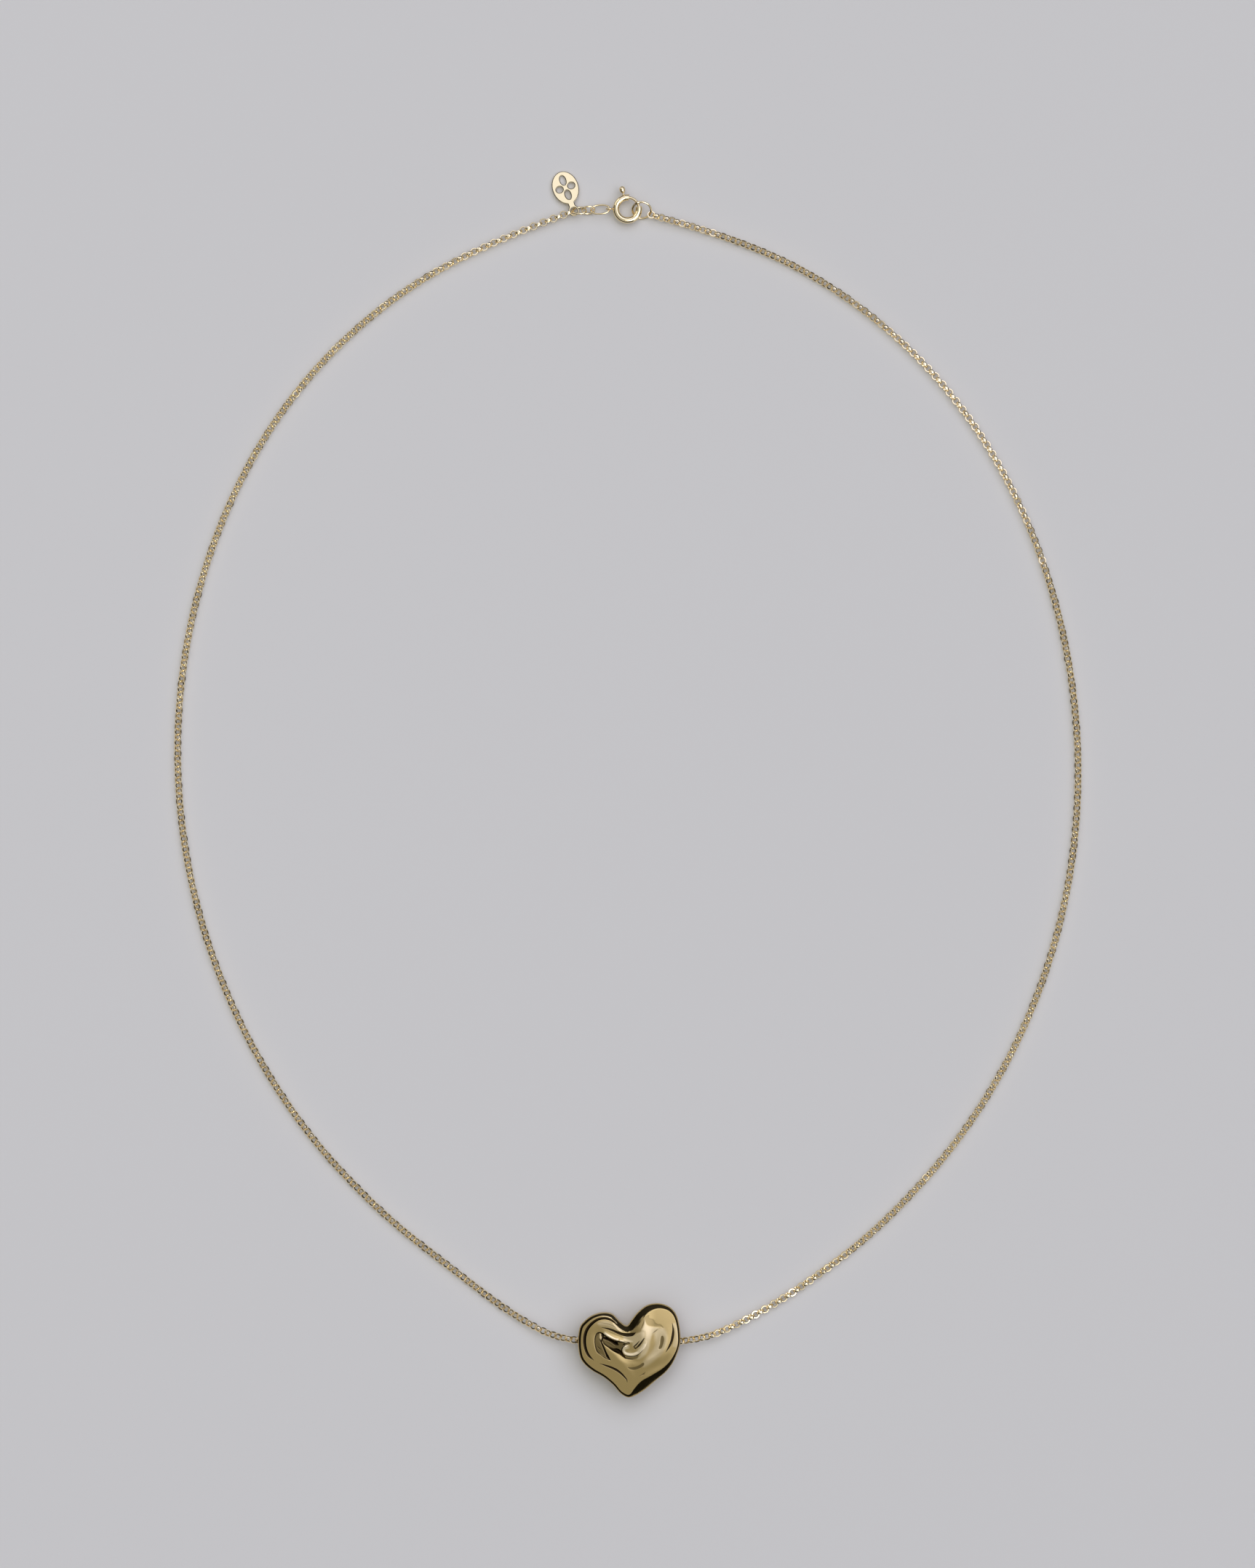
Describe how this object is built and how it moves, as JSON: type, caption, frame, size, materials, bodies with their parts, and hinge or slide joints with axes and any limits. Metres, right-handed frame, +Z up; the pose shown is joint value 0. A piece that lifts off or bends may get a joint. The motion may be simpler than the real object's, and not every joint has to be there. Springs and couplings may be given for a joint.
{
  "type": "heart pendant necklace",
  "caption": "Necklace with a cast heart bead, its cast folds raised, threaded on a fine belcher chain that closes with a spring ring clasp, with oval links and a pierced oval tag.",
  "frame": {"origin": "under the middle of the closed necklace, on the surface it lies on", "axes": "+Z up from the surface, +Y from the heart to the clasp, +X to the right as seen from above with the heart at the front"},
  "size_m": [0.1436, 0.1935, 0.0057],
  "materials": {
    "heart_metal": "polished, gold plated, tan gold",
    "chain_metal": "polished, gold plated, pale champagne gold",
    "clasp_metal": "polished, gold plated, pale champagne gold",
    "tag_metal": "satin face with bright edges, gold plated"
  },
  "bodies": {
    "necklace": {"heart_bead": "heart_metal", "chain": "chain_metal", "spring_ring": "clasp_metal", "jump_ring": "clasp_metal", "extender_link_1": "clasp_metal", "extender_link_2": "clasp_metal", "extender_link_3": "clasp_metal", "tag": "tag_metal"},
    "gate": {"gate": "clasp_metal"}
  },
  "joints": [
    {"name": "gate_hinge", "type": "hinge", "parent": "necklace", "child": "gate", "pos_m": [-0.00009, 0.09088, 0.00114], "axis": [0, 0, 1], "range_deg": [0, 50], "stiffness_Nm_per_rad": 0.0008, "springref_deg": -17.19}
  ]
}
